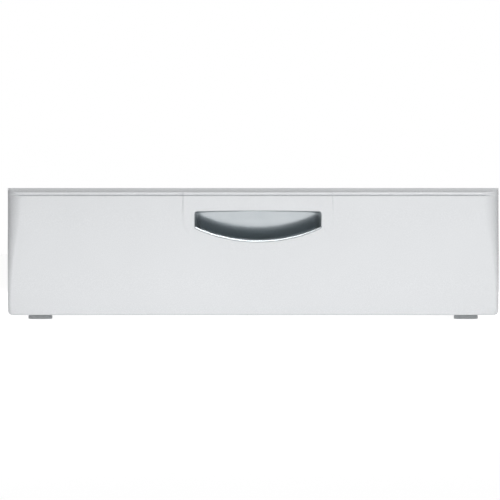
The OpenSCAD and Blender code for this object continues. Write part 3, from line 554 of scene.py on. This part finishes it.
def makeDrawerFront():
    s = frontShell
    faceY, backY = frontLow[1], frontHigh[1]
    bottomZ, topZ = frontLow[2] + s["footTrim"], frontHigh[2]
    halfTop = (frontHigh[0] - frontLow[0]) / 2
    slopeLow, slopeHigh = math.radians(s["bevelLow"]), math.radians(s["bevelHigh"])
    rollZ = topZ - s["bevelHeight"] - s["rollRadius"] * math.cos(slopeLow)
    grooveZ = rollZ - s["stepRise"] - s["grooveDrop"]
    # lengths along the top edge, from grooveZ: to the roll, to the bevel and to the end
    stepRun = s["grooveDrop"] + s["stepRise"]
    rollTurn = math.pi / 2 - slopeLow
    rollEnd = stepRun + rollTurn * s["rollRadius"]
    bevelRun = s["bevelHeight"] * (slopeHigh - slopeLow) / (math.cos(slopeLow) - math.cos(slopeHigh))
    bevelTurn = (slopeHigh - slopeLow) / bevelRun
    lastV = rollEnd + bevelRun

    def halfAt(z):
        half = halfTop - s["draft"] * (topZ - z) / (topZ - bottomZ)
        below = bottomZ + s["lowRound"] - z
        if below > 0:
            half -= s["lowRound"] - math.sqrt(max(s["lowRound"] ** 2 - below ** 2, 0))
        return half

    def roundAt(z):
        share = smooth((z - bottomZ) / (topZ - bottomZ)) ** s["sideRoundPower"]
        return s["lowSideRound"] + (s["sideRound"] - s["lowSideRound"]) * share

    def padShare(x, z):
        dx = abs(x - opening["x"])
        sideGap = s["padHalf"] - dx
        lowGap = s["padArc"] - math.hypot(dx, opening["arcZ"] - z)
        corner = s["padCorner"]
        if sideGap < corner and lowGap < corner:
            gap = corner - math.hypot(corner - sideGap, corner - lowGap)
        else:
            gap = min(sideGap, lowGap)
        high = smooth((z - s["padSoftFrom"]) / s["padSoftRun"])
        soft = s["padSoftLow"] + (s["padSoftTop"] - s["padSoftLow"]) * high
        fade = 1 - smooth((z - rollZ) / (topZ - rollZ))
        return smooth(gap / soft + 0.5) * fade

    def topRelief(v):
        # height and set-back at v along the groove, the step, the roll and the bevel
        if v <= stepRun:
            groove = s["grooveDepth"] * math.exp(-((v - s["grooveMiddle"]) / s["grooveWidth"]) ** 2)
            step = smooth((v - s["stepFrom"]) / (stepRun - s["stepFrom"]))
            return grooveZ + v, groove - s["proud"] * step
        v -= stepRun
        psi = min(v / s["rollRadius"], rollTurn)
        z = rollZ + s["rollRadius"] * math.sin(psi)
        setBack = -s["proud"] + s["rollRadius"] * (1 - math.cos(psi))
        v -= rollTurn * s["rollRadius"]
        if v <= 0:
            return z, setBack
        slope = slopeLow + bevelTurn * v       # the bevel is a little hollow: it gets steeper
        return (z + (math.cos(slopeLow) - math.cos(slope)) / bevelTurn,
                setBack + (math.sin(slope) - math.sin(slopeLow)) / bevelTurn)

    def surface(u, v):
        # u is -1..1 across the flat and beyond that the side rounding; v is height, then the top's length
        z, relief = (v, 0.0) if v <= grooveZ else topRelief(v - grooveZ)
        half, rad = halfAt(z), roundAt(z)
        angle = max(abs(u) - 1, 0) * math.pi / 2
        x = math.copysign(min(abs(u), 1) * (half - rad) + rad * math.sin(angle), u)
        side = rad / s["sideRound"] * s["sideDepth"] * (1 - math.cos(angle))
        share = padShare(x, z)
        crownZ = min(z, grooveZ) - s["crownZ"]
        crowned = s["proud"] + crownZ ** 2 / s["crown"]
        base = crowned * (1 - share) + s["padDepth"] * share
        low = bottomZ + s["footRound"] - z
        foot = s["footRound"] - math.sqrt(max(s["footRound"] ** 2 - low ** 2, 0)) if low > 0 else 0.0
        if relief < 0 or z < rollZ:
            depth = base + relief * math.exp(-side / s["reliefFade"]) + side
        else:
            depth = base + softMax(relief, side, s["cornerSoft"] * relief * side)
        return x, faceY + max(depth + foot, 0.0), z

    def back(u, v):
        x, y, z = surface(u, v)
        half = halfAt(z)
        tall = topZ - bottomZ
        inZ = bottomZ + s["wall"] + (z - bottomZ) * (tall - 2 * s["wall"]) / tall
        depth = max(y - faceY + s["wall"], s["skin"])
        return x * (half - s["wall"]) / half, faceY + min(depth, backY - faceY - s["rim"]), inZ

    def rimOut(u, v):
        x, y, z = surface(u, v)
        return x, backY, z

    def rimIn(u, v):
        x, y, z = back(u, v)
        return x, backY, z

    flat = halfTop - s["sideRound"]
    left, right = opening["x"] - s["fineReach"], opening["x"] + s["fineReach"]
    us = [-2 + k / s["sideSteps"] for k in range(s["sideSteps"])]
    us += [x / flat for x in joinSpans([(-flat, left, s["wide"]), (left, right, s["fine"]),
                                        (right, flat, s["wide"])])]
    us += [1 + k / s["sideSteps"] for k in range(1, s["sideSteps"] + 1)]
    low = s["lowRound"]
    vs = [bottomZ + low - low * math.cos(math.pi / 2 * k / s["lowSteps"]) for k in range(s["lowSteps"])]
    vs += joinSpans([(bottomZ + low, s["fineAbove"], s["tall"]), (s["fineAbove"], grooveZ, s["fine"])])
    top = joinSpans([(0, stepRun, s["grooveStep"]), (stepRun, rollEnd, s["rollStep"]),
                     (rollEnd, lastV, s["bevelStep"])])
    vs += [grooveZ + t for t in top[1:]]
    reach = opening["halfWidth"] + s["holeMargin"]
    block = (nearest(us, (opening["x"] - reach) / flat), nearest(us, (opening["x"] + reach) / flat),
             nearest(vs, s["holeLow"]), nearest(vs, opening["top"] + s["holeTopMargin"]))

    def holeRings(counts, around):
        # from the grid to the opening's edge, round the edge, and to the back of the skin
        gap, lowGap, edge = s["holeGap"], s["holeLowGap"], s["holeRound"]
        start = [surface(u, v) for u, v in around]

        def onFace(grow, sink):
            ring = openingRing(counts, gap + grow, lowGap + grow)
            return [(x, faceY + sink, z) for x, z in ring]

        outline = onFace(edge, s["padDepth"])
        rings = []
        for share in (0.25, 0.5, 0.75):
            rings.append([(a[0] + (b[0] - a[0]) * share, a[1], a[2] + (b[2] - a[2]) * share)
                          for a, b in zip(start, outline)])
        rings.append(outline)
        for k in range(1, s["holeSteps"] + 1):
            angle = math.pi / 2 * k / s["holeSteps"]
            rings.append(onFace(edge * (1 - math.sin(angle)), s["padDepth"] + edge * (1 - math.cos(angle))))
        rings.append(onFace(0, s["skin"]))
        return rings

    verts, faces = reliefSheet(us, vs, surface, back, [rimOut, rimIn],
                               [{"block": block, "rings": holeRings}])
    piece = makePiece("drawerFrontShell", verts, faces, frontAbs)
    settle(piece, "drawer", "front_moulding", "drawer_front")


makeDrawerFront()


fingerCup = {
    "gap": 0.05, "inset": 1.0, "wall": 1.8, "flange": 9.0, "flangeDepth": 2.5,
    # the sloping wall, by distance from the arc's centre: gentle, then steep
    "wallStart": 170.9, "startAhead": 2.0, "startDepth": 1.3, "gentle": 13.0, "steep": 50.0,
    "turnFrom": 176.5, "turnTo": 202.5, "deepest": 29.0, "profileSteps": 160,
    # the sides: a tight round, then a steep draft
    "sideDraft": 5.5, "sideBend": 0.75, "topDrop": 1.2, "lipDrop": 2.2, "lipFall": 24.0, "softness": 4.0,
    # the lip's rounding: share of the way out, depth behind the face
    "lipRound": ((0.04, 0.9), (0.12, 0.6), (0.3, 0.42), (0.5, 0.25), (0.7, 0.08), (0.86, -0.05),
                 (0.94, -0.1), (0.98, 0.1), (1.0, 0.4)),
    "countX": 110, "countZ": 56, "ease": 0.7,
}


def makeFingerCup():
    s = fingerCup
    faceY = frontLow[1] + frontShell["padDepth"]
    skin = frontShell["skin"] - frontShell["padDepth"]
    lip = opening["lip"]
    x0, arcZ = opening["x"], opening["arcZ"]
    lowRadius = opening["arcRadius"] - lip
    half = opening["halfWidth"] - s["inset"]
    top = opening["top"] - s["inset"]
    rhos = np.linspace(s["wallStart"] - s["startAhead"], lowRadius, s["profileSteps"])
    angles = [s["gentle"] + (s["steep"] - s["gentle"]) * smooth((r - s["turnFrom"])
              / (s["turnTo"] - s["turnFrom"])) for r in rhos]
    run = np.cumsum(np.tan(np.radians(angles))) * (rhos[1] - rhos[0])
    wallDepth = s["startDepth"] + run - run[0]

    def steepAt(gap, start):
        # how deep the cup may be this far in from an edge
        return start + s["sideDraft"] * max(gap, 0) ** s["sideBend"]

    def bowl(x, z):
        dx = x - x0
        rho = math.hypot(dx, arcZ - z)
        depth = min(float(np.interp(rho, rhos, wallDepth)), s["deepest"])
        depth = softMin(depth, steepAt(half - abs(dx), s["lipDrop"]), s["softness"])
        depth = softMin(depth, steepAt(top + opening["arch"] - z, s["topDrop"]), s["softness"])
        # the lip's inner side drops almost straight
        behindLip = s["lipDrop"] + s["lipFall"] * math.sqrt(max(lowRadius - rho, 0))
        depth = softMin(depth, behindLip, s["softness"])
        return max(depth, s["topDrop"])

    countX, countZ = s["countX"], s["countZ"]
    us = [float(eased(k / countX, s["ease"])) for k in range(countX + 1)]
    vs = [float(eased(k / countZ, s["ease"])) for k in range(countZ + 1)]
    counts = [countX, countZ, countX, countZ]

    def skinPoints(ring):
        # a Coons patch over the outline, closer together near its edges
        south = ring[:countX] + [ring[countX]]
        east = ring[countX:countX + countZ] + [ring[countX + countZ]]
        north = (ring[countX + countZ:2 * countX + countZ] + [ring[2 * countX + countZ]])[::-1]
        west = (ring[2 * countX + countZ:] + [ring[0]])[::-1]
        south, east, north, west = map(np.array, (south, east, north, west))
        points = {}
        for i, u in enumerate(us):
            for j, v in enumerate(vs):
                p = ((1 - v) * south[i] + v * north[i] + (1 - u) * west[j] + u * east[j]
                     - (1 - u) * (1 - v) * south[0] - u * (1 - v) * south[-1]
                     - (1 - u) * v * north[0] - u * v * north[-1])
                points[u, v] = (float(p[0]), float(p[1]))
        return points

    throatRing = openingRing(counts, -s["inset"], -lip, s["ease"])
    outerRing = openingRing(counts, -s["gap"], -s["gap"], s["ease"])
    backRing = openingRing(counts, s["wall"] - s["inset"], s["wall"] - lip, s["ease"])
    flangeRing = openingRing(counts, s["flange"], s["flange"], s["ease"])
    throat, backside = skinPoints(throatRing), skinPoints(backRing)
    order = [(us[i], vs[j]) for side in gridLoop(0, countX, 0, countZ) for i, j in side]
    place = {key: k for k, key in enumerate(order)}

    def front(u, v):
        x, z = throat[u, v]
        return x, faceY + bowl(x, z), z

    def back(u, v):
        x, z = backside[u, v]
        return x, faceY + max(bowl(*throat[u, v]) + s["wall"], skin + s["flangeDepth"]), z

    def ringAt(share, depth):
        def point(u, v):
            k = place[u, v]
            (ax, az), (bx, bz) = throatRing[k], outerRing[k]
            return ax + (bx - ax) * share, faceY + depth, az + (bz - az) * share
        return point

    def flat(ring, depth):
        return lambda u, v: (ring[place[u, v]][0], faceY + depth, ring[place[u, v]][1])

    edge = [ringAt(share, depth) for share, depth in s["lipRound"]]
    edge += [flat(outerRing, skin), flat(flangeRing, skin), flat(flangeRing, skin + s["flangeDepth"])]
    verts, faces = reliefSheet(us, vs, front, back, edge, [])
    piece = makePiece("fingerCupShell", verts, faces, silverPaint, angle=40)
    settle(piece, "drawer", "silver_cup", "handle_cup")


makeFingerCup()


def beadShare(along, across, s):
    # 1 on a pressed bead's floor, 0 outside it; along and across are measured from its middle
    beyond = max(abs(along) - (s["beadLength"] - s["beadWidth"]) / 2, 0)
    return smooth((s["beadWidth"] / 2 - math.hypot(beyond, across)) / s["beadSoft"])


def beadEnds(middle, s):
    # the two stretches along the beads where their ends need a finer grid
    end, reach = s["beadLength"] / 2 + s["margin"], s["beadWidth"] / 2 + s["margin"]
    return [(middle - end, middle - end + reach), (middle + end - reach, middle + end)]


def stretchesAt(places, reach):
    return [(at - reach, at + reach) for at in places]


def finerAt(start, stop, stretches, fine, wide):
    # grid lines from start to stop, closer together over the given stretches
    spans, at = [], start
    for low, high in sorted(stretches):
        low, high = max(low, at), min(high, stop)
        if high <= low:
            continue
        if low > at:
            spans.append((at, low, wide))
        spans.append((low, high, fine))
        at = high
    if at < stop:
        spans.append((at, stop, wide))
    return joinSpans(spans)


# the sheet the washer stands on: pressed beads, dished seats for its feet, a folded skirt
deck = {
    "sheet": 1.5, "bend": 3.0, "bendSteps": 5, "edgeBreak": 0.3, "beads": 5, "beadPitch": 107.5,
    "beadLength": 500.0, "beadWidth": 22.0, "beadDepth": 3.0, "beadSoft": 7.0,
    "seatSpanX": 560.0, "seatSpanY": 490.0, "seatRadius": 31.0, "seatDepth": 4.0, "seatSoft": 6.0,
    "boltRadius": 5.5, "boltFlare": 0.4, "boltBlock": 2.5, "margin": 1.0, "fine": 1.7, "wide": 18.0,
}


def makeDeckSheet():
    s = deck
    low, high = boxOf("top_deck")
    topZ, lowZ = high[2], low[2]
    midX, midY = (low[0] + high[0]) / 2, (low[1] + high[1]) / 2
    beadYs = [midY + (i - (s["beads"] - 1) / 2) * s["beadPitch"] for i in range(s["beads"])]
    seatXs = [midX + i * s["seatSpanX"] / 2 for i in (-1, 1)]
    seatYs = [midY + i * s["seatSpanY"] / 2 for i in (-1, 1)]
    seats = [(x, y) for x in seatXs for y in seatYs]

    def topAt(x, y):
        drop = s["beadDepth"] * max(beadShare(x - midX, y - beadY, s) for beadY in beadYs)
        for seatX, seatY in seats:
            gap = s["seatRadius"] - math.hypot(x - seatX, y - seatY)
            drop = max(drop, s["seatDepth"] * smooth(gap / s["seatSoft"]))
        return topZ - drop

    def outwards(u, v):
        x = -1 if u == us[0] else 1 if u == us[-1] else 0
        y = -1 if v == vs[0] else 1 if v == vs[-1] else 0
        length = math.hypot(x, y)
        return x / length, y / length

    def skirtRing(out, z):
        def point(u, v):
            x, y = outwards(u, v)
            return u + out * x, v + out * y, z
        return point

    bend, inner, blunt = s["bend"], s["bend"] - s["sheet"], s["edgeBreak"]
    seatReach, beadReach = s["seatRadius"] + s["margin"], s["beadWidth"] / 2 + s["margin"]
    us = finerAt(low[0] + bend, high[0] - bend, stretchesAt(seatXs, seatReach) + beadEnds(midX, s),
                 s["fine"], s["wide"])
    vs = finerAt(low[1] + bend, high[1] - bend,
                 stretchesAt(seatYs, seatReach) + stretchesAt(beadYs, beadReach), s["fine"], s["wide"])
    turns = [math.pi / 2 * k / s["bendSteps"] for k in range(1, s["bendSteps"] + 1)]
    edge = [skirtRing(bend * math.sin(a), topZ - bend * (1 - math.cos(a))) for a in turns]
    edge += [skirtRing(bend, lowZ + blunt), skirtRing(bend - blunt, lowZ),
             skirtRing(inner + blunt, lowZ), skirtRing(inner, lowZ + blunt)]
    edge += [skirtRing(inner * math.sin(a), topZ - bend + inner * math.cos(a)) for a in turns[::-1]]

    def boltHole(seatX, seatY):
        reach = s["boltBlock"] * s["boltRadius"]
        block = [nearest(us, seatX - reach), nearest(us, seatX + reach),
                 nearest(vs, seatY - reach), nearest(vs, seatY + reach)]

        def rings(counts, points):
            floor, radius = topZ - s["seatDepth"], s["boltRadius"]
            angles = [math.atan2(v - seatY, u - seatX) for u, v in points]
            return [[(seatX + r * math.cos(a), seatY + r * math.sin(a), z) for a in angles]
                    for r, z in ((radius + s["boltFlare"], floor), (radius, floor - blunt),
                                 (radius, floor - s["sheet"]))]
        return {"block": block, "rings": rings}

    verts, faces = reliefSheet(us, vs, lambda u, v: (u, v, topAt(u, v)),
                               lambda u, v: (u, v, topAt(u, v) - s["sheet"]),
                               edge, [boltHole(x, y) for x, y in seats])
    settle(makePiece("deckSheet", verts, faces, powderCoat), "cabinet", "white_enamel", "top_deck")


makeDeckSheet()


# a flat sheet with three pressed beads, spaced evenly below the deck's skirt
backPanel = {
    "sheet": 1.2, "beads": 3, "beadLength": 476.0, "beadWidth": 22.0, "beadDepth": 3.0, "beadSoft": 7.0,
    "skirtGap": 12.5, "margin": 1.0, "fine": 1.7, "wide": 22.0,
}


def makeBackSheet():
    s = backPanel
    low, high = boxOf("back_panel")
    pitch = (high[2] - s["skirtGap"] - low[2]) / (s["beads"] + 1)
    beadZs = [low[2] + (i + 1) * pitch for i in range(s["beads"])]
    midX = (low[0] + high[0]) / 2

    def outerY(x, z):
        return high[1] - s["beadDepth"] * max(beadShare(x - midX, z - beadZ, s) for beadZ in beadZs)

    beadReach = s["beadWidth"] / 2 + s["margin"]
    us = finerAt(low[0], high[0], beadEnds(midX, s), s["fine"], s["wide"])
    vs = finerAt(low[2], high[2], stretchesAt(beadZs, beadReach), s["fine"], s["wide"])
    verts, faces = reliefSheet(us, vs, lambda u, v: (u, outerY(u, v), v),
                               lambda u, v: (u, outerY(u, v) - s["sheet"], v), [], [])
    settle(makePiece("backSheet", verts, faces, powderCoat), "cabinet", "white_enamel", "back_panel")


makeBackSheet()


# each kind is a few turned or hexagonal skins: sides, then points of (radius share, part, height share)
fastenerKinds = {
    "hexScrew": [
        (20, [(0, "shank", -1), (1, "shank", -0.75), (1, "shank", 0), (1, "head", 0.02), (1, "head", 0.2),
              (0.86, "head", 0.36), (0, "head", 0.38)]),
        (6, [(0, "head", 0.2), (0.74, "head", 0.22), (0.74, "head", 0.86), (0.62, "head", 1),
             (0.48, "head", 0.99), (0.42, "head", 0.88), (0, "head", 0.86)])],
    "rivet": [
        (18, [(0, "shank", -1), (1.3, "shank", -0.97), (1.45, "shank", -0.8), (1, "shank", -0.7),
              (1, "shank", 0), (1, "head", 0.04), (1, "head", 0.28), (0.86, "head", 0.66),
              (0.6, "head", 0.92), (0.3, "head", 1), (0.24, "head", 0.6), (0, "head", 0.58)])],
}
fastenerSizes = ("headRadius", "headHeight", "shankRadius", "shankLength")
fastenerLook = {"turnSeed": 7, "largestTurn": 2 * math.pi, "sharpAngle": 30}
fasteners = {
    "cabinet_screws": ("hexScrew", "cabinetScrews"), "rail_rivets": ("rivet", "railRivets"),
    "drawer_rivets": ("rivet", "drawerRivets"), "front_screws": ("hexScrew", "frontScrews"),
    "slide_cabinet_screws": ("hexScrew", "slideCabinetScrews"),
    "slide_drawer_screws": ("hexScrew", "slideDrawerScrews"), "handle_screws": ("hexScrew", "handleScrews"),
}


def fastenerTree(kind):
    tree = bpy.data.node_groups.new(kind, "GeometryNodeTree")
    sockets = {}
    socketKinds = {"places": "Geometry", **dict.fromkeys(fastenerSizes, "Float"), "finish": "Material"}
    for name, socketKind in socketKinds.items():
        sockets[name] = tree.interface.new_socket(name, in_out="INPUT",
                                                  socket_type="NodeSocket" + socketKind)
    tree.interface.new_socket("result", in_out="OUTPUT", socket_type="NodeSocketGeometry")
    given = addNode(tree, "NodeGroupInput").outputs
    joined = addNode(tree, "GeometryNodeJoinGeometry")

    def times(socket, share):
        return addNode(tree, "ShaderNodeMath", {"operation": "MULTIPLY"}, {1: share}, {0: socket}).outputs[0]

    for sides, points in fastenerKinds[kind]:
        sized = [(times(given[part + "Radius"], radius),
                  times(given["headHeight" if part == "head" else "shankLength"], height))
                 for radius, part, height in points]
        for k in range(len(points) - 1):
            part, height = points[k][1:]
            nextPart, nextHeight = points[k + 1][1:]
            rising = nextHeight > height or (nextPart == "head" and part == "shank")
            lower, upper = (sized[k], sized[k + 1]) if rising else (sized[k + 1], sized[k])
            depth = addNode(tree, "ShaderNodeMath", {"operation": "SUBTRACT"},
                            links={0: upper[1], 1: lower[1]})
            skin = addNode(tree, "GeometryNodeMeshCone", {"fill_type": "NONE"}, {"Vertices": sides},
                           {"Radius Top": upper[0], "Radius Bottom": lower[0], "Depth": depth.outputs[0]})
            lift = addNode(tree, "ShaderNodeCombineXYZ", links={"Z": lower[1]})
            moved = addNode(tree, "GeometryNodeTransform",
                            links={"Geometry": skin.outputs["Mesh"], "Translation": lift.outputs[0]})
            tree.links.new(moved.outputs[0], joined.inputs[0])
    merged = addNode(tree, "GeometryNodeMergeByDistance", values={"Distance": mergeDistance},
                     links={"Geometry": joined.outputs[0]})
    # each one stands along its own axis, its head turned at random about it
    facing = addNode(tree, "GeometryNodeInputNamedAttribute", {"data_type": "FLOAT_VECTOR"},
                     {"Name": "facing"})
    aligned = addNode(tree, "FunctionNodeAlignRotationToVector", {"axis": "Z"},
                      links={"Vector": facing.outputs["Attribute"]})
    turn = addNode(tree, "FunctionNodeRandomValue", {"data_type": "FLOAT"},
                   {"Seed": fastenerLook["turnSeed"], 3: fastenerLook["largestTurn"]})
    spin = addNode(tree, "FunctionNodeAxisAngleToRotation", values={"Axis": (0, 0, 1)},
                   links={"Angle": turn.outputs[1]})
    turned = addNode(tree, "FunctionNodeRotateRotation", {"rotation_space": "LOCAL"},
                     links={"Rotation": aligned.outputs[0], "Rotate By": spin.outputs[0]})
    placed = addNode(tree, "GeometryNodeInstanceOnPoints",
                     links={"Points": given["places"], "Instance": merged.outputs[0],
                            "Rotation": turned.outputs[0]})
    real = addNode(tree, "GeometryNodeRealizeInstances", links={"Geometry": placed.outputs[0]})
    finished = addNode(tree, "GeometryNodeSetMaterial",
                       links={"Geometry": real.outputs[0], "Material": given["finish"]})
    addNode(tree, "NodeGroupOutput", links={0: finished.outputs[0]})
    return tree, {name: socket.identifier for name, socket in sockets.items()}


def islandsOf(nodeName):
    # the separate solids of a CAD node, each as an array of its points in millimetres
    cornerDistance = 0.01 * mm
    work = bmesh.new()
    work.from_mesh(frame["nodes"][nodeName].data)
    bmesh.ops.remove_doubles(work, verts=work.verts, dist=cornerDistance)
    work.verts.index_update()
    seen, islands = set(), []
    for start in work.verts:
        if start.index in seen:
            continue
        seen.add(start.index)
        waiting, points = [start], []
        while waiting:
            vert = waiting.pop()
            points.append([c / mm for c in vert.co])
            for link in vert.link_edges:
                other = link.other_vert(vert)
                if other.index not in seen:
                    seen.add(other.index)
                    waiting.append(other)
        islands.append(np.array(points))
    work.free()
    return islands


def measureFastener(points):
    # a fastener's axis is the one its box is square about; its head is the wide end
    rimShare, slack = 0.9, 0.01
    low, high = points.min(0), points.max(0)
    size = high - low
    axis = min(range(3), key=lambda i: abs(size[(i + 1) % 3] - size[(i + 2) % 3]))
    place = (low + high) / 2
    offset = points - place
    offset[:, axis] = 0
    radius = np.hypot(np.hypot(offset[:, 0], offset[:, 1]), offset[:, 2])
    along = points[:, axis]
    head = along[radius > rimShare * radius.max()]
    outward = 1 if abs(head.max() - high[axis]) < slack else -1
    seat, tip = (head.min(), low[axis]) if outward > 0 else (head.max(), high[axis])
    facing = np.zeros(3)
    facing[axis] = outward
    place[axis] = seat
    shank = radius[abs(along - tip) < slack]
    return {"place": place, "facing": facing, "headRadius": radius.max(),
            "headHeight": head.max() - head.min(), "shankRadius": shank.max(),
            "shankLength": abs(seat - tip)}


def makeFasteners():
    trees = {kind: fastenerTree(kind) for kind in fastenerKinds}
    for nodeName, (kind, pieceName) in fasteners.items():
        found = [measureFastener(points) for points in islandsOf(nodeName)]
        mesh = bpy.data.meshes.new(pieceName)
        mesh.from_pydata([tuple(f["place"] * mm) for f in found], [], [])
        facing = mesh.attributes.new("facing", "FLOAT_VECTOR", "POINT")
        facing.data.foreach_set("vector", np.array([f["facing"] for f in found], np.float32).ravel())
        holder = bpy.data.objects.new(pieceName + "Places", mesh)
        scene.collection.objects.link(holder)
        tree, sockets = trees[kind]
        modifier = holder.modifiers.new("fasteners", "NODES")
        modifier.node_group = tree
        for name in fastenerSizes:
            modifier[sockets[name]] = float(min(f[name] for f in found) * mm)
        finish = finishes[slotOf[nodeName]]
        modifier[sockets["finish"]] = finish
        ready = holder.evaluated_get(bpy.context.evaluated_depsgraph_get())
        made = bpy.data.meshes.new_from_object(ready)
        bpy.data.objects.remove(holder)
        piece = finishPiece(pieceName, made, finish, fastenerLook["sharpAngle"])
        settle(piece, frame["nodes"][nodeName]["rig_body"], slotOf[nodeName], nodeName)


makeFasteners()
